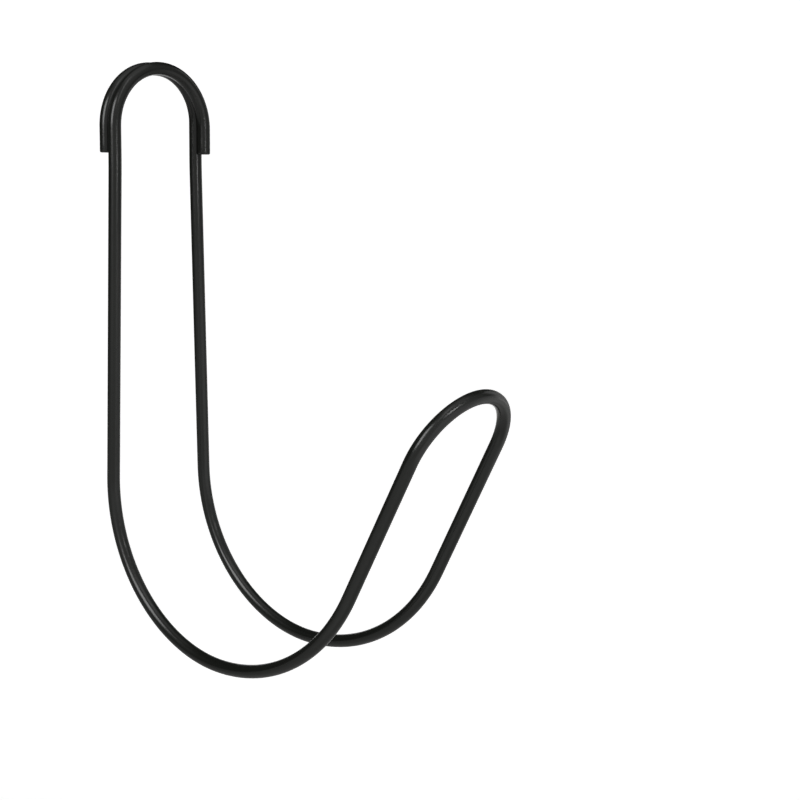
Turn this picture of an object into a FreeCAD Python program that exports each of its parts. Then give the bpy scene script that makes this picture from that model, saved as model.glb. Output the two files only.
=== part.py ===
import FreeCAD, Part
import math
import os

# Hose hanger: one round steel rod, bent to a closed frame that hangs over a garden tap.
# Millimetres. +Z is up, +X points from the legs to the nose, +Y runs across the hanger.
# The origin is under the crown of the arch, halfway between its two strands: it rests on the tap there.

# Driving dimensions

rod_diameter = 6.0            # black-coated round steel rod
tap_gap = 48.0                # clear width between the legs under the arch
lap_clearance = 0.06          # hair gap between the two strands over the tap
rear_crown_flat = 3.0         # straight run that the rear strand has past the crown, before its tighter shoulder
cut_end_length = 12.0         # how far each cut end runs down past the arch
cut_end_bevel = 0.5           # bevel of the cut edge under the coating
leg_set_length = 5.0          # half of the gentle bend below the cut ends, in which a leg takes its heading
leg_lean = 0.5                # degrees by which each side opens outwards towards the bottom
arch_to_rear_bend = 164.0     # drop from the arch's centre to the centre of the rear bend
rear_bend_radius = 74.0       # bend from the legs down to the lowest point, on the rod's centre line
rear_bend_sweep = 90.0        # degrees
front_bend_radius = 86.0      # wider bend from the lowest point up to the front rails
front_bend_sweep = 63.0       # degrees, which is also the slope of the front rails
front_rail_length = 68.0      # straight run from the front bend to the nose

# Derived sizes

rod_radius = rod_diameter / 2
arch_radius = tap_gap / 2 + rod_radius
strand_offset = (rod_diameter + lap_clearance) / 2
arch_centre_z = -tap_gap / 2
crown_z = arch_centre_z + arch_radius
shoulder_radius = arch_radius - rear_crown_flat
cut_end_z = arch_centre_z - cut_end_length
set_off_z = cut_end_z - leg_set_length
rear_centre_x = rear_bend_radius
rear_centre_z = arch_centre_z - arch_to_rear_bend
Y = FreeCAD.Vector(0, 1, 0)
Z = FreeCAD.Vector(0, 0, 1)


def in_side_plane(x, z, side):
    """Place a point of the flat side view on the leaning plane of one side (-1 is left, +1 is right)."""
    lean = math.radians(leg_lean)
    drop = set_off_z - z
    y = arch_radius + drop * math.sin(lean)
    return FreeCAD.Vector(x, side * y, set_off_z - drop * math.cos(lean))


def circle_point(centre_x, centre_z, radius, heading):
    """Point on a bend in the side view where the rod heads this way: 0 is down, 90 degrees is forward."""
    angle = math.radians(heading)
    return centre_x - radius * math.cos(angle), centre_z - radius * math.sin(angle)


def leg_heading(strand_x):
    """Heading in degrees with which a leg leaves its strand and runs as a tangent into the rear bend."""
    across = rear_centre_x - strand_x
    down = set_off_z - rear_centre_z
    to_centre = math.atan2(across, down)
    off_centre = math.asin(rear_bend_radius / math.hypot(across, down))
    return math.degrees(to_centre - off_centre)


def bend_between(start, corner, finish):
    """Arc that is tangent to both runs at a corner, with start and finish equally far from the corner."""
    to_start = (start - corner).normalize()
    to_finish = (finish - corner).normalize()
    reach = (start - corner).Length
    half_angle = to_start.getAngle(to_finish) / 2
    radius = reach * math.tan(half_angle)
    inwards = (to_start + to_finish).normalize()
    middle = corner + inwards * (radius / math.sin(half_angle) - radius)
    return Part.Arc(start, middle, finish)


def side_run(side):
    """One side of the hanger, from the arch down its leg and round both bends to the nose."""
    strand_x = -side * strand_offset
    arch_end = FreeCAD.Vector(strand_x, side * arch_radius, arch_centre_z)
    corner = in_side_plane(strand_x, set_off_z, side)
    first_heading = leg_heading(strand_x)
    rear_middle = (first_heading + rear_bend_sweep) / 2
    front_middle = rear_bend_sweep + front_bend_sweep / 2
    last_heading = rear_bend_sweep + front_bend_sweep

    rear_centre = (rear_centre_x, rear_centre_z)
    rear_start = in_side_plane(*circle_point(*rear_centre, rear_bend_radius, first_heading), side)
    rear_mid = in_side_plane(*circle_point(*rear_centre, rear_bend_radius, rear_middle), side)
    lowest_x, lowest_z = circle_point(*rear_centre, rear_bend_radius, rear_bend_sweep)
    lowest = in_side_plane(lowest_x, lowest_z, side)

    # The front bend shares the tangent at the end of the rear bend.
    change = math.radians(rear_bend_sweep)
    growth = front_bend_radius - rear_bend_radius
    front_centre = (rear_centre_x + growth * math.cos(change), rear_centre_z + growth * math.sin(change))
    front_mid = in_side_plane(*circle_point(*front_centre, front_bend_radius, front_middle), side)
    front_x, front_z = circle_point(*front_centre, front_bend_radius, last_heading)
    front_end = in_side_plane(front_x, front_z, side)

    slope = math.radians(last_heading)
    rail_x = front_x + front_rail_length * math.sin(slope)
    rail_z = front_z - front_rail_length * math.cos(slope)
    rail_end = in_side_plane(rail_x, rail_z, side)

    set_start = corner + Z * leg_set_length
    set_end = corner + (rear_start - corner).normalize() * leg_set_length
    curves = [
        Part.LineSegment(arch_end, set_start),
        bend_between(set_start, corner, set_end),
        Part.LineSegment(set_end, rear_start),
        Part.Arc(rear_start, rear_mid, lowest),
        Part.Arc(lowest, front_mid, front_end),
        Part.LineSegment(front_end, rail_end),
    ]
    return curves, front_end, rail_end


def nose_bend(left_front, left_end, right_end):
    """Round nose that takes up the heading of both front rails, which close in on each other a little."""
    rail = (left_end - left_front).normalize()
    forward = (rail - Y * rail.dot(Y)).normalize()
    closing = math.asin(rail.dot(Y))
    half_width = (right_end - left_end).Length / 2
    radius = half_width / math.cos(closing)
    centre = (left_end + right_end) * 0.5 - forward * (radius * math.sin(closing))
    return Part.Arc(left_end, centre + forward * radius, right_end)


def quarter_bend(start, corner, finish):
    """Quarter circle between two runs that meet square at a corner."""
    to_start = start - corner
    to_finish = finish - corner
    middle = corner + (to_start + to_finish) * (1 - math.sqrt(0.5))
    return Part.Arc(start, middle, finish)


def front_strand():
    """The right cut end and the half-round arch that lead over the tap into the left leg."""
    cut_end = FreeCAD.Vector(strand_offset, arch_radius, cut_end_z)
    arch_start = FreeCAD.Vector(strand_offset, arch_radius, arch_centre_z)
    crown = FreeCAD.Vector(strand_offset, 0, crown_z)
    arch_end = FreeCAD.Vector(strand_offset, -arch_radius, arch_centre_z)
    return [Part.LineSegment(cut_end, arch_start), Part.Arc(arch_start, crown, arch_end)]


def rear_strand():
    """The right leg's strand: a tight shoulder, a short flat to the crown and a quarter bend to the left cut end."""
    def place(y, z):
        return FreeCAD.Vector(-strand_offset, y, z)

    shoulder_z = crown_z - shoulder_radius
    leg_top = place(arch_radius, arch_centre_z)
    shoulder_start = place(arch_radius, shoulder_z)
    shoulder_end = place(rear_crown_flat, crown_z)
    crown = place(0, crown_z)
    arch_end = place(-arch_radius, arch_centre_z)
    return [
        Part.LineSegment(leg_top, shoulder_start),
        quarter_bend(shoulder_start, place(arch_radius, crown_z), shoulder_end),
        Part.LineSegment(shoulder_end, crown),
        quarter_bend(crown, place(-arch_radius, crown_z), arch_end),
        Part.LineSegment(arch_end, place(-arch_radius, cut_end_z)),
    ]


def hanger_rod():
    """The whole rod as one sweep: over the tap, down the left, round the nose, up the right, over again."""
    left, left_front, left_end = side_run(-1)
    right, right_front, right_end = side_run(1)
    nose = nose_bend(left_front, left_end, right_end)
    curves = front_strand() + left + [nose] + right[::-1] + rear_strand()
    route = Part.Wire(Part.__sortEdges__([curve.toShape() for curve in curves]))

    start = FreeCAD.Vector(strand_offset, arch_radius, cut_end_z)
    section = Part.Wire(Part.makeCircle(rod_radius, start, Z))
    rod = route.makePipeShell([section], True, False)

    cut_edges = []
    for edge in rod.Edges:
        box = edge.BoundBox
        if box.ZLength < 1e-4 and abs(box.ZMin - cut_end_z) < 1e-4:
            cut_edges.append(edge)
    return rod.makeChamfer(cut_end_bevel, cut_edges)


os.makedirs("parts", exist_ok=True)
rod = hanger_rod()
rod.exportStep("parts/hanger_rod.step")
print("hanger_rod", "valid", rod.isValid(), "solids", len(rod.Solids), "volume", round(rod.Volume))
print("box", rod.BoundBox)
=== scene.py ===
# %% [markdown]
# # A hose hanger bent from one steel rod
#
# The real object is a single round steel rod with a satin black coating. It goes over a garden tap twice,
# as two strands side by side that make the arch, and both of its cut ends stop just below that arch. Two
# legs run down from it, turn forward in a wide J and meet in a round nose, which keeps a coiled hose from
# slipping off.
#
# This lesson dresses the CAD model of that hanger. It bends the rod anew in mesh code, the way a wire
# bender would, gives it its coating, and lights it like a product picture on white. Everything is in
# metres and in the CAD's own frame: +Z is up, +X points to the nose, and the origin is under the crown of
# the arch.

# %% Load the frame
import math

import bmesh
import bpy
from mathutils import Matrix, Vector


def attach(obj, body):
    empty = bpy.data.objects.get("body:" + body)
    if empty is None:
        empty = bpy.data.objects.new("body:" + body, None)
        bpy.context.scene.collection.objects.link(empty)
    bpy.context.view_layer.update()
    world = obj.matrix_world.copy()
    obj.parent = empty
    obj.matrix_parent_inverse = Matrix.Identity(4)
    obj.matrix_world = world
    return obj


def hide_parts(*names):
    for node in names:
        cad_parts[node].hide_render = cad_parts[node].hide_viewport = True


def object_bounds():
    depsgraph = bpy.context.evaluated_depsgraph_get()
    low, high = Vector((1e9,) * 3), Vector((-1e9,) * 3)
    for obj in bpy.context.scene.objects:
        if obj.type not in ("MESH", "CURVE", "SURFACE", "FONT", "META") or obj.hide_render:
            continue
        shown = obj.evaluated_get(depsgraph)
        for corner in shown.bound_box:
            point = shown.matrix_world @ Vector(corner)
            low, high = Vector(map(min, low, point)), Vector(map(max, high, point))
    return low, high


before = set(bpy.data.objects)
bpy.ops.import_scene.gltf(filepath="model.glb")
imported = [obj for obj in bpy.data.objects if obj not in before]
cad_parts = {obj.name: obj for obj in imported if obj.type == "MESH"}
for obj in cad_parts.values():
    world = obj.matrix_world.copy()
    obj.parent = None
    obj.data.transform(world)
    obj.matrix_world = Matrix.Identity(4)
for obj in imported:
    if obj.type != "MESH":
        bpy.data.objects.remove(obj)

cad_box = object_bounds()
print("CAD box", [[round(c, 4) for c in corner] for corner in cad_box])

# %% [markdown]
# ## The sizes of the hanger
#
# The mesh has to lie where the CAD solid lies. It could be traced from the CAD's triangles, but a rod
# made from the few sizes that a maker would write on the bending sheet comes out round and exact, and
# stays easy to read. The sizes are given in millimetres, the unit of that sheet. One function turns them
# into Blender's metres, and a second one turns metres back for the printed notes.

# %% Sizes from the bending sheet
def mm(length):
    """A length in millimetres as metres."""
    return length / 1000


def in_mm(length, digits=2):
    """A length in metres as rounded millimetres."""
    return round(length * 1000, digits)


ROD_DIAMETER = mm(6.0)
TAP_GAP = mm(48.0)
LAP_CLEARANCE = mm(0.06)
REAR_CROWN_FLAT = mm(3.0)
CUT_END_LENGTH = mm(12.0)
LEG_SET_LENGTH = mm(5.0)
LEG_LEAN = math.radians(0.5)
ARCH_TO_REAR_BEND = mm(164.0)
REAR_BEND_RADIUS = mm(74.0)
REAR_BEND_SWEEP = math.radians(90.0)
FRONT_BEND_RADIUS = mm(86.0)
FRONT_BEND_SWEEP = math.radians(63.0)
FRONT_RAIL_LENGTH = mm(68.0)
print("rod of", in_mm(ROD_DIAMETER), "mm, clear width over the tap", in_mm(TAP_GAP), "mm")

# %% Sizes that follow from them
rod_radius = ROD_DIAMETER / 2
arch_radius = TAP_GAP / 2 + rod_radius
strand_offset = (ROD_DIAMETER + LAP_CLEARANCE) / 2
arch_centre_z = -TAP_GAP / 2
crown_z = arch_centre_z + arch_radius
shoulder_radius = arch_radius - REAR_CROWN_FLAT
cut_end_z = arch_centre_z - CUT_END_LENGTH
set_off_z = cut_end_z - LEG_SET_LENGTH
rear_centre = (REAR_BEND_RADIUS, arch_centre_z - ARCH_TO_REAR_BEND)
front_centre = (rear_centre[0], rear_centre[1] + FRONT_BEND_RADIUS - REAR_BEND_RADIUS)
print("arch radius on the rod's centre line", in_mm(arch_radius), "mm")

# %% [markdown]
# ## Places on the two sides
#
# Each side of the hanger is bent flat, like a drawing of the side view, and the whole side then leans
# outwards by half a degree. Its places could be worked out in space at once, but it is easier to find
# them in the flat side view first and to lay them on the leaning plane after that. The legs start from
# two strands that lie one behind the other, but both run as tangents into the same rear bend. That gives
# each leg its own slight slope.

# %% From the side view to the leaning side
LEFT, RIGHT = -1, 1


def on_side(x, z, side):
    """A place of the flat side view, laid on the leaning plane of one side."""
    drop = set_off_z - z
    y = side * (arch_radius + drop * math.sin(LEG_LEAN))
    return Vector((x, y, set_off_z - drop * math.cos(LEG_LEAN)))


def on_bend(centre, radius, heading):
    """The place on a side-view bend where the rod heads this way: 0 is down and 90 degrees is forward."""
    return centre[0] - radius * math.cos(heading), centre[1] - radius * math.sin(heading)


def strand_x(side):
    """How far forward a leg starts: the left one at the front strand, the right one at the rear strand."""
    return -side * strand_offset


def leg_heading(side):
    """The heading with which a leg runs from its strand as a tangent into the rear bend."""
    across = rear_centre[0] - strand_x(side)
    down = set_off_z - rear_centre[1]
    return math.atan2(across, down) - math.asin(REAR_BEND_RADIUS / math.hypot(across, down))


for name, side in (("left", LEFT), ("right", RIGHT)):
    print(name, "leg slopes by", round(math.degrees(leg_heading(side)), 2), "degrees")

# %% [markdown]
# ## A bender for the rod
#
# A wire bender knows two moves: it feeds the rod straight on, and it bends it round a former. A curve
# with a round bevel could draw this rod too, but two bmesh operators make the bender's own moves with the
# open end of a tube: an extrude for the feed and a spin for the bend. That way each bend is a true arc
# round its former. The tube starts as a circle, and the bender remembers the open ring, the place of its
# centre, the way it heads and how much rod has gone through.

# %% Start the rod as an open ring
RING_SIDES = 40

rod_mesh = bmesh.new()
rod_start = Vector((strand_offset, arch_radius, cut_end_z))
bmesh.ops.create_circle(
    rod_mesh, cap_ends=False, segments=RING_SIDES, radius=rod_radius, matrix=Matrix.Translation(rod_start)
)
first_ring = list(rod_mesh.edges)
bender = {"ring": first_ring, "tip": rod_start.copy(), "heading": Vector((0, 0, 1)), "fed": 0.0}
print("ring of", len(first_ring), "edges at", [in_mm(c) for c in rod_start], "mm")

# %% Feed the rod
FEED_STEP = mm(5.0)


def only(kind, geometry):
    """The items of one kind, such as corners or edges, in what an operator gives back."""
    return [item for item in geometry if isinstance(item, kind)]


def ring_edges(geometry):
    """The edges of the ring that a move has just made."""
    corners = set(only(bmesh.types.BMVert, geometry))
    edges = only(bmesh.types.BMEdge, geometry)
    return [edge for edge in edges if edge.verts[0] in corners and edge.verts[1] in corners]


def feed(length):
    """Push the rod straight on."""
    steps = math.ceil(length / FEED_STEP)
    for _ in range(steps):
        grown = bmesh.ops.extrude_edge_only(rod_mesh, edges=bender["ring"])["geom"]
        push = bender["heading"] * (length / steps)
        bmesh.ops.translate(rod_mesh, verts=only(bmesh.types.BMVert, grown), vec=push)
        bender["ring"] = ring_edges(grown)
    bender["tip"] = bender["tip"] + bender["heading"] * length
    bender["fed"] += length


print("the bender feeds at most", in_mm(FEED_STEP), "mm in one step")

# %% Bend the rod
BEND_STEP = math.radians(3.0)
ARC_STEP = mm(2.4)
FEWEST_BEND_STEPS = 2


def bend_steps(radius, angle):
    """How many steps keep a bend round, both in angle and in length."""
    return max(FEWEST_BEND_STEPS, math.ceil(angle / min(BEND_STEP, ARC_STEP / radius)))


def bend(centre, angle):
    """Bend the rod round a former that stands at this centre."""
    to_centre = Vector(centre) - bender["tip"]
    axis = bender["heading"].cross(to_centre).normalized()
    corners = list(dict.fromkeys(vert for edge in bender["ring"] for vert in edge.verts))
    turned = bmesh.ops.spin(
        rod_mesh, geom=bender["ring"] + corners, cent=centre, axis=axis, dvec=(0, 0, 0), angle=angle,
        steps=bend_steps(to_centre.length, angle), use_merge=False, use_normal_flip=False,
        use_duplicate=False,
    )["geom_last"]
    bender["ring"] = ring_edges(turned)
    turn = Matrix.Rotation(angle, 3, axis)
    bender["tip"] = Vector(centre) + turn @ (bender["tip"] - Vector(centre))
    bender["heading"] = (turn @ bender["heading"]).normalized()
    bender["fed"] += angle * to_centre.length


def bend_towards(heading, reach):
    """Turn the rod to a new heading in one soft bend that starts and ends this far from its corner."""
    angle = bender["heading"].angle(heading)
    inwards = (heading - bender["heading"] * bender["heading"].dot(heading)).normalized()
    radius = reach / math.tan(angle / 2)
    bend(bender["tip"] + inwards * radius, angle)


print("a half circle over the tap is bent in", bend_steps(arch_radius, math.pi), "steps")

# %% [markdown]
# ## Over the tap and down the left leg
#
# The rod starts with the cut end at the right of the arch. It goes straight up, over the tap in a half
# circle as the front strand, and down into the left leg. Just below the cut ends the leg takes its slight
# slope. That could be a sharp corner, but a bend so soft that the eye only sees a straight rod set a
# little askew is what a bending jig leaves. After each run the bender's tip is compared with the place
# where the drawing wants it.

# %% Front strand
def miss(place):
    """How far the open end is from where it should be, in millimetres."""
    return in_mm((bender["tip"] - place).length, 4)


feed(CUT_END_LENGTH)
bend((strand_offset, 0, arch_centre_z), math.pi)
feed(CUT_END_LENGTH)
print("front strand made, off by", miss(Vector((strand_offset, -arch_radius, cut_end_z))), "mm")


# %% Left leg
def leg_corner(side):
    """The corner where a leg leaves its strand."""
    return on_side(strand_x(side), set_off_z, side)


def rear_bend_start(side):
    """The place where a leg runs into the rear bend."""
    return on_side(*on_bend(rear_centre, REAR_BEND_RADIUS, leg_heading(side)), side)


left_slope = (rear_bend_start(LEFT) - leg_corner(LEFT)).normalized()
bend_towards(left_slope, LEG_SET_LENGTH)
feed((rear_bend_start(LEFT) - bender["tip"]).length)
print("left leg made, off by", miss(rear_bend_start(LEFT)), "mm")

# %% [markdown]
# ## Forward in a J and round the nose
#
# The rear bend is the tighter one and ends at the lowest point. The front bend is wider and leaves the
# rails rising at 63 degrees. The two rails close in on each other a little, so the nose turns by slightly
# less than half a circle to meet them both. Its radius could be a size of its own, but the rails leave
# only one that fits, so it is worked out from the place and the heading of the bender.

# %% Left J
bend(on_side(*rear_centre, LEFT), REAR_BEND_SWEEP - leg_heading(LEFT))
bend(on_side(*front_centre, LEFT), FRONT_BEND_SWEEP)
feed(FRONT_RAIL_LENGTH)
print("left rail ends at", [in_mm(c, 1) for c in bender["tip"]], "mm")

# %% Nose
closing = math.asin(bender["heading"].y)
half_width = -bender["tip"].y
rail_forward = Vector((bender["heading"].x, 0, bender["heading"].z)).normalized()
between_rails = Vector((bender["tip"].x, 0, bender["tip"].z))
nose_radius = half_width / math.cos(closing)
nose_centre = between_rails - rail_forward * (nose_radius * math.sin(closing))
bend(nose_centre, math.pi - 2 * closing)
print("nose radius", in_mm(nose_radius), "mm, right rail starts at y", in_mm(bender["tip"].y), "mm")

# %% [markdown]
# ## Back up the right side and over the tap again
#
# The right side repeats the left one backwards. A mirror could copy it, but the rod has no seam, so the
# same bender simply goes on. The leg leads into the rear strand, which rests against the front strand
# over the tap. This strand has a tighter right shoulder with a short flat before the crown, as a strand
# gets that is closed last, and ends in the second cut end.

# %% Right J and leg
feed(FRONT_RAIL_LENGTH)
bend(on_side(*front_centre, RIGHT), FRONT_BEND_SWEEP)
bend(on_side(*rear_centre, RIGHT), REAR_BEND_SWEEP - leg_heading(RIGHT))
feed((leg_corner(RIGHT) - bender["tip"]).length - LEG_SET_LENGTH)
bend_towards(Vector((0, 0, 1)), LEG_SET_LENGTH)
print("right leg made, off by", miss(Vector((-strand_offset, arch_radius, cut_end_z))), "mm")

# %% Rear strand
shoulder_z = crown_z - shoulder_radius
feed(shoulder_z - cut_end_z)
bend((-strand_offset, REAR_CROWN_FLAT, shoulder_z), math.pi / 2)
feed(REAR_CROWN_FLAT)
bend((-strand_offset, 0, arch_centre_z), math.pi / 2)
feed(CUT_END_LENGTH)
print("rear strand made, off by", miss(Vector((-strand_offset, -arch_radius, cut_end_z))), "mm")
print("the rod is", in_mm(bender["fed"], 0), "mm long")

# %% [markdown]
# ## The cut ends
#
# The rod is cut square and coated afterwards, and the coating runs thin and round over the cut edge. A
# Bevel modifier would have to be told which edges to leave alone, so the operator rounds just these two
# rims. Each open ring is filled with a face, the rim gets a bevel of several segments, and an inset adds
# a narrow ring inside the face, which keeps it flat under smooth shading.

# %% Close and round both ends
END_ROUNDING = mm(0.7)
END_SEGMENTS = 5
END_INSET = mm(0.25)

for ring, end in ((first_ring, rod_start), (bender["ring"], bender["tip"])):
    cap = bmesh.ops.contextual_create(rod_mesh, geom=ring)["faces"][0]
    bmesh.ops.bevel(
        rod_mesh, geom=list(cap.edges), offset=END_ROUNDING, offset_type="OFFSET", segments=END_SEGMENTS,
        profile=0.5, affect="EDGES", material=-1,
    )
    # Only the face that closes an end has more than four corners.
    caps = [face for face in rod_mesh.faces if len(face.verts) > 4]
    flat = min(caps, key=lambda face: (face.calc_center_median() - end).length)
    bmesh.ops.inset_region(rod_mesh, faces=[flat], thickness=END_INSET, depth=0)

bmesh.ops.recalc_face_normals(rod_mesh, faces=rod_mesh.faces)
open_edges = [edge for edge in rod_mesh.edges if not edge.is_manifold]
volume = round(rod_mesh.calc_volume() / mm(1) ** 3)
print("faces", len(rod_mesh.faces), "open edges", len(open_edges), "volume", volume, "mm3")

# %% [markdown]
# ## The rod as an object
#
# The mesh already lies where the rod belongs, so its object stays at the origin, unturned and unscaled.
# The place could be given to the object instead, but then a pattern on Object coordinates would slide
# when the model is exported. The hanger has no joint: the rod rides on its only body and stands in for
# the CAD's rod.

# %% Make the rod an object
for face in rod_mesh.faces:
    face.smooth = True
mesh = bpy.data.meshes.new("coated_rod")
rod_mesh.to_mesh(mesh)
rod_mesh.free()
coated_rod = bpy.data.objects.new("coated_rod", mesh)
scene = bpy.context.scene
scene.collection.objects.link(coated_rod)
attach(coated_rod, "root")
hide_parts("hanger_rod")
print("coated_rod", len(mesh.polygons), "faces")

# %% [markdown]
# ## Helpers for finishes
#
# Paint and paper colours are written as the hex values that a paint card would give. A render needs them
# as linear light, so one function turns them. A second one adds a shader node with its settings and links
# in one line, which keeps a finish readable as a list of its layers. A third one starts an empty finish,
# and the last one turns the real size of a mark into the scale of a noise.

# %% Colour and node helpers
def linear(hex_colour):
    """An sRGB hex colour as linear RGBA."""
    channels = [int(hex_colour[i:i + 2], 16) / 255 for i in (1, 3, 5)]
    return [c / 12.92 if c <= 0.04045 else ((c + 0.055) / 1.055) ** 2.4 for c in channels] + [1.0]


def add_node(tree, kind, settings=(), *in_order, **by_name):
    """Add a node with its settings and fill its inputs, in order or by name, with values or sockets."""
    node = tree.nodes.new(kind)
    for name, value in dict(settings).items():
        setattr(node, name, value)
    sockets = [socket for socket in node.inputs if socket.enabled]
    inputs = list(zip(sockets, in_order))
    for name, value in by_name.items():
        inputs.append((next(socket for socket in sockets if socket.name == name.replace("_", " ")), value))
    for socket, value in inputs:
        if isinstance(value, bpy.types.NodeSocket):
            tree.links.new(value, socket)
        else:
            socket.default_value = value
    return node


def new_finish(name):
    """An empty material and its node tree."""
    material = bpy.data.materials.new(name)
    material.use_nodes = True
    material.node_tree.nodes.clear()
    return material, material.node_tree


def per_metre(size_mm):
    """The scale of a noise whose marks are about this large, in millimetres."""
    return 1 / mm(size_mm)


print("mid grey in linear light", [round(c, 4) for c in linear("#808080")])

# %% [markdown]
# ## The black coating
#
# The rod is steel under a baked black powder coating. Powder melts into a skin of about 0.1 mm that is
# satin, not glossy, and never quite flat: it keeps an orange peel of marks about 1.3 mm across and a fine
# grain below it. The eye sees a warm black with soft, slightly broken streaks of light. Pigment and
# thickness vary a little along the rod, and the skin is a touch smoother and paler where it ran thicker.
# The real grain is too fine to show in the render, so it is drawn about as coarse as one pixel. A picture
# of a coating could be wrapped round the rod, but noise in Object coordinates needs no unwrapping and
# keeps its real size on every bend.

# %% Sizes and colours of the coating
THIN_BLACK = "#0f110e"
THICK_BLACK = "#131511"
THIN_ROUGHNESS = 0.26
THICK_ROUGHNESS = 0.21
# The noise runs from 0 to 1, but most of it lies between these two values.
THIN_NOISE = 0.3
THICK_NOISE = 0.7
POLYESTER_IOR = 1.5
THICKNESS_PATCH_MM = 16.0
THICKNESS_PATCH_DETAIL = 3.0
ORANGE_PEEL_MM = 1.3
ORANGE_PEEL_DETAIL = 2.0
ORANGE_PEEL_DEPTH = mm(0.008)
GRAIN_MM = 0.45
GRAIN_DETAIL = 1.0
GRAIN_DEPTH = mm(0.002)
print("orange peel of", ORANGE_PEEL_MM, "mm marks,", in_mm(ORANGE_PEEL_DEPTH, 3), "mm deep")

# %% Black powder coating on steel
black_coating, tree = new_finish("black_powder_coating_on_steel")
on_rod = add_node(tree, "ShaderNodeTexCoord").outputs["Object"]
patches = add_node(tree, "ShaderNodeTexNoise", Vector=on_rod, Scale=per_metre(THICKNESS_PATCH_MM),
                   Detail=THICKNESS_PATCH_DETAIL).outputs["Fac"]
peel = add_node(tree, "ShaderNodeTexNoise", Vector=on_rod, Scale=per_metre(ORANGE_PEEL_MM),
                Detail=ORANGE_PEEL_DETAIL).outputs["Fac"]
grain = add_node(tree, "ShaderNodeTexNoise", Vector=on_rod, Scale=per_metre(GRAIN_MM),
                 Detail=GRAIN_DETAIL).outputs["Fac"]
pigment = add_node(tree, "ShaderNodeMix", {"data_type": "RGBA"}, Factor=patches,
                   A=linear(THIN_BLACK), B=linear(THICK_BLACK))
roughness = add_node(tree, "ShaderNodeMapRange", Value=patches, From_Min=THIN_NOISE, From_Max=THICK_NOISE,
                     To_Min=THIN_ROUGHNESS, To_Max=THICK_ROUGHNESS)
peel_bump = add_node(tree, "ShaderNodeBump", Strength=1.0, Distance=ORANGE_PEEL_DEPTH, Height=peel)
grain_bump = add_node(tree, "ShaderNodeBump", Strength=1.0, Distance=GRAIN_DEPTH, Height=grain,
                      Normal=peel_bump.outputs["Normal"])
coating = add_node(tree, "ShaderNodeBsdfPrincipled", Base_Color=pigment.outputs["Result"],
                   Roughness=roughness.outputs["Result"], IOR=POLYESTER_IOR,
                   Normal=grain_bump.outputs["Normal"])
add_node(tree, "ShaderNodeOutputMaterial", Surface=coating.outputs["BSDF"])
coated_rod.data.materials.append(black_coating)
print("finish", black_coating.name, "with", len(tree.nodes), "nodes")

# %% [markdown]
# ## The room
#
# A black rod shows hardly any colour of its own, so it is its surroundings that shade it round. They
# could come from a picture of a real studio, but a plain dim room is easier to steer: its light falls off
# softly from the camera's side to the dark side behind the hanger.

# %% Light of the room
BRIGHT_SIDE = (-30, 14)
BRIGHT_SIDE_LIGHT = 0.48
DARK_SIDE_LIGHT = 0.055
BRIGHT_WITHIN = math.cos(math.radians(34))
DARK_BEYOND = math.cos(math.radians(100))


def direction_to(azimuth, elevation):
    """The direction at these angles in degrees. Azimuth 0 is ahead of the nose and -90 is left."""
    turn, rise = math.radians(azimuth), math.radians(elevation)
    return Vector((math.cos(turn) * math.cos(rise), math.sin(turn) * math.cos(rise), math.sin(rise)))


scene.view_settings.view_transform = "Standard"
room = bpy.data.worlds.new("dim_studio")
room.use_nodes = True
room.node_tree.nodes.clear()
look = add_node(room.node_tree, "ShaderNodeTexCoord").outputs["Generated"]
brightness = add_node(room.node_tree, "ShaderNodeVectorMath", {"operation": "DOT_PRODUCT"},
                      look, direction_to(*BRIGHT_SIDE))
falloff = add_node(room.node_tree, "ShaderNodeMapRange", {"interpolation_type": "SMOOTHSTEP"},
                   Value=brightness.outputs["Value"], From_Min=DARK_BEYOND, From_Max=BRIGHT_WITHIN,
                   To_Min=DARK_SIDE_LIGHT, To_Max=BRIGHT_SIDE_LIGHT)
air = add_node(room.node_tree, "ShaderNodeBackground", Color=linear("#ffffff"),
               Strength=falloff.outputs["Result"])
add_node(room.node_tree, "ShaderNodeOutputWorld", Surface=air.outputs["Background"])
scene.world = room
print("the room's light falls from", BRIGHT_SIDE_LIGHT, "to", DARK_SIDE_LIGHT, "of white")

# %% [markdown]
# ## A finish for floor and backdrop
#
# A product picture has a pure white ground. Lamps strong enough for that would wash out the rod, so the
# floor and the paper have a matt finish with a lift: the camera, reflections and glass see the paper as
# pure white and the floor a little paler, but they light the hanger only as white paper and a pale floor
# do.

# %% Matt finish with a lift
def background_finish(name, hex_colour, lift):
    """A matt finish that camera, mirror and glass see brighter by the lift than the lamps make it."""
    finish, tree = new_finish(name)
    # The lift counts for a ray of the camera, of a mirror or of glass, and not for soft light.
    ray = add_node(tree, "ShaderNodeLightPath").outputs
    shown = add_node(tree, "ShaderNodeMath", {"operation": "MAXIMUM"},
                     ray["Is Camera Ray"], ray["Is Glossy Ray"])
    seen = add_node(tree, "ShaderNodeMath", {"operation": "MAXIMUM"},
                    shown.outputs["Value"], ray["Is Transmission Ray"])
    strength = add_node(tree, "ShaderNodeMapRange", Value=seen.outputs["Value"], To_Max=lift)
    glow = add_node(tree, "ShaderNodeEmission", Color=linear("#ffffff"),
                    Strength=strength.outputs["Result"])
    matt = add_node(tree, "ShaderNodeBsdfDiffuse", Color=linear(hex_colour))
    both = add_node(tree, "ShaderNodeAddShader", (), matt.outputs["BSDF"], glow.outputs["Emission"])
    add_node(tree, "ShaderNodeOutputMaterial", Surface=both.outputs["Shader"])
    return finish


FLOOR_COLOUR = "#d8d8d6"
FLOOR_LIFT = 0.1
PAPER_COLOUR = "#f6f6f6"
PAPER_LIFT = 0.67

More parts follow.
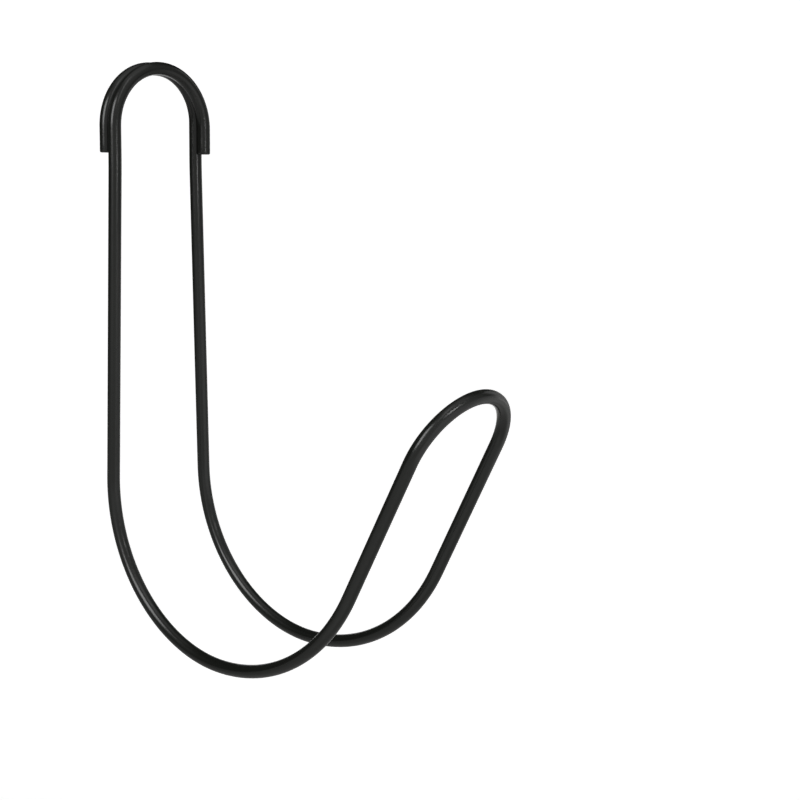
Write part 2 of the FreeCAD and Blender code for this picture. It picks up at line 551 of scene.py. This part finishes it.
floor_paint = background_finish("pale_floor_paint", FLOOR_COLOUR, FLOOR_LIFT)
white_ground = background_finish("white_background_paper", PAPER_COLOUR, PAPER_LIFT)
print("finishes", floor_paint.name, "and", white_ground.name)

# %% [markdown]
# ## Floor and paper sweep
#
# The hanger hangs free in the air, as on its tap, 0.9 m above a pale floor that takes its soft shadow. A
# sweep of white paper lies on the floor behind it and curves up into a backdrop, so that no line shows
# where the ground ends. It could fill the whole room, but the rod mirrors all of it, so it is only as
# large as the picture needs. The paper faces the camera, whose heading is therefore set here.

# %% Floor
FLOOR_DROP = mm(900)
FLOOR_SIZE = 12.0


def stage_piece(name, shape, finish):
    """Turn a bmesh into a piece of the studio."""
    mesh = bpy.data.meshes.new(name)
    shape.to_mesh(mesh)
    shape.free()
    mesh.materials.append(finish)
    piece = bpy.data.objects.new(name, mesh)
    scene.collection.objects.link(piece)
    return piece


floor_z = cad_box[0][2] - FLOOR_DROP
floor_shape = bmesh.new()
bmesh.ops.create_grid(floor_shape, x_segments=1, y_segments=1, size=FLOOR_SIZE / 2,
                      matrix=Matrix.Translation((0, 0, floor_z)))
stage_piece("studio_floor", floor_shape, floor_paint)
print("floor at z", round(floor_z, 3), "m")

# %% Flat part of the paper
CAMERA_YAW = math.radians(40.244)
# Metres from the middle of the hanger, backwards, to the left and to the right as the camera sees them.
PAPER_START = 1.8
PAPER_BEND_START = 1.85
PAPER_LEFT = -0.86
PAPER_RIGHT = 1.1
PAPER_ABOVE_FLOOR = mm(2)

hanger_middle = Vector([(low + high) / 2 for low, high in zip(*cad_box)])
facing = Matrix.Rotation(CAMERA_YAW, 4, "Z")
across, away = facing.to_3x3() @ Vector((1, 0, 0)), facing.to_3x3() @ Vector((0, 1, 0))
lie = Matrix.Translation((hanger_middle.x, hanger_middle.y, floor_z + PAPER_ABOVE_FLOOR)) @ facing
middle = Matrix.Translation(((PAPER_LEFT + PAPER_RIGHT) / 2, (PAPER_START + PAPER_BEND_START) / 2, 0))
spread = Matrix.Diagonal((PAPER_RIGHT - PAPER_LEFT, PAPER_BEND_START - PAPER_START, 1, 1))
paper_shape = bmesh.new()
# A grid of size 0.5 is a square of one metre, which the spread then brings to the paper's width and length.
bmesh.ops.create_grid(paper_shape, x_segments=1, y_segments=1, size=0.5, matrix=lie @ middle @ spread)
print("paper", round(PAPER_RIGHT - PAPER_LEFT, 2), "m wide starts", PAPER_START, "m behind the hanger")

# %% Bend the paper up and finish it
PAPER_BEND_RADIUS = 0.35
PAPER_BEND_STEPS = 16
PAPER_TOP = 0.33

back_edge = max(paper_shape.edges, key=lambda edge: sum(vert.co.dot(away) for vert in edge.verts))
bend_centre = (back_edge.verts[0].co + back_edge.verts[1].co) / 2 + Vector((0, 0, PAPER_BEND_RADIUS))
raised = bmesh.ops.spin(
    paper_shape, geom=[back_edge, *back_edge.verts], cent=bend_centre, axis=across, dvec=(0, 0, 0),
    angle=math.pi / 2, steps=PAPER_BEND_STEPS, use_merge=False, use_normal_flip=False, use_duplicate=False,
)["geom_last"]
top = bmesh.ops.extrude_edge_only(paper_shape, edges=only(bmesh.types.BMEdge, raised))["geom"]
top_corners = only(bmesh.types.BMVert, top)
bmesh.ops.translate(paper_shape, verts=top_corners, vec=(0, 0, PAPER_TOP - bend_centre.z))
for face in paper_shape.faces:
    face.smooth = True
white_paper = stage_piece("white_paper_sweep", paper_shape, white_ground)
print("paper of", len(white_paper.data.polygons), "faces, top edge at z", PAPER_TOP, "m")

# %% [markdown]
# ## The lamps
#
# The streaks on a dark rod are pictures of the lamps, and its greys are pictures of white cards. The key
# box stands left of the hanger and draws the streaks on the left strands, the bright lines on both rear
# bends and the long glint before the nose. A narrow strip high on the camera's side lights the left
# shoulder of the arch, a weak box overhead its top, and a tiny box close to the nose draws the second
# glint. Three weak cards give back light from low on the camera's side, from the right and from just
# ahead of the nose. They grey the legs, the rails and the tip of the nose.
#
# Point lamps and suns would only draw dots, so each lamp and card is a rectangle. It is placed by the
# direction in which the rod sees it, and its brightness is the radiance of its face, where 1 is white.

# %% A rectangular lamp or card
def light_panel(name, azimuth, elevation, distance, width, height, radiance):
    """A rectangle of light that faces the middle of the hanger."""
    direction = direction_to(azimuth, elevation)
    lamp = bpy.data.lights.new(name, "AREA")
    lamp.shape = "RECTANGLE"
    lamp.size, lamp.size_y = width, height
    lamp.energy = radiance * math.pi * width * height
    panel = bpy.data.objects.new(name, lamp)
    panel.location = hanger_middle + direction * distance
    panel.rotation_euler = (-direction).to_track_quat("-Z", "Y").to_euler()
    # The rod mirrors the panel, but the camera looks through it.
    panel.visible_camera = False
    scene.collection.objects.link(panel)
    print(name, "of", width, "x", height, "m stands", distance, "m away")


# %% Four soft boxes
light_panel("key_box", azimuth=-94, elevation=25.5, distance=1.3, width=0.52, height=0.85, radiance=5.5)
light_panel("strip_box", azimuth=-45, elevation=59, distance=0.5, width=0.05, height=0.35, radiance=2.1)
light_panel("top_box", azimuth=0, elevation=84, distance=1.0, width=0.8, height=1.2, radiance=0.32)
light_panel("glint_box", azimuth=-11, elevation=21.5, distance=0.235, width=0.07, height=0.015, radiance=13)

# %% Three white cards
light_panel("front_card", azimuth=-52, elevation=-31, distance=0.5, width=3.0, height=0.59, radiance=0.2)
light_panel("side_card", azimuth=77, elevation=11, distance=1.3, width=0.6, height=1.3, radiance=0.54)
light_panel("near_card", azimuth=20, elevation=-19, distance=0.25, width=0.4, height=0.22, radiance=0.37)

# %% [markdown]
# ## The camera
#
# The camera stands in front and to the left of the hanger, level with the cut ends of the arch, and looks
# slightly down. It could be set by eye, but its place, heading and lens were found by laying the CAD rod
# over the photograph's outline, where the thickness of the rod gives the distance at each place.

# %% Camera at the photograph's viewpoint
CAMERA_PLACE = (mm(539.4), mm(-457.5), mm(-40.3))
CAMERA_DOWN = math.radians(9.045)
CAMERA_ROLL = math.radians(0.890)
SENSOR_WIDTH = 36.0
LENS = 65.935

camera_data = bpy.data.cameras.new("product_camera")
camera_data.sensor_width = SENSOR_WIDTH
camera_data.lens = LENS
camera = bpy.data.objects.new("product_camera", camera_data)
camera.location = CAMERA_PLACE
aim = Matrix.Rotation(CAMERA_YAW, 3, "Z") @ Matrix.Rotation(math.pi / 2 - CAMERA_DOWN, 3, "X")
camera.rotation_euler = (aim @ Matrix.Rotation(CAMERA_ROLL, 3, "Z")).to_euler()
scene.collection.objects.link(camera)
scene.camera = camera
bpy.context.view_layer.update()
print("camera", round((hanger_middle - camera.location).length, 3), "m from the middle of the hanger")

# %% Where the hanger falls in the picture
PICTURE_SIDE = 800


def in_picture(place):
    """Where a place falls in the picture, in pixels from its top left corner."""
    seen = camera.matrix_world.inverted() @ Vector(place)
    scale = LENS / SENSOR_WIDTH * PICTURE_SIDE / -seen.z
    return round(PICTURE_SIDE / 2 + seen.x * scale, 1), round(PICTURE_SIDE / 2 - seen.y * scale, 1)


print("left cut end at", in_picture((-strand_offset, -arch_radius, cut_end_z)))
print("nose tip at", in_picture(nose_centre + rail_forward * nose_radius))
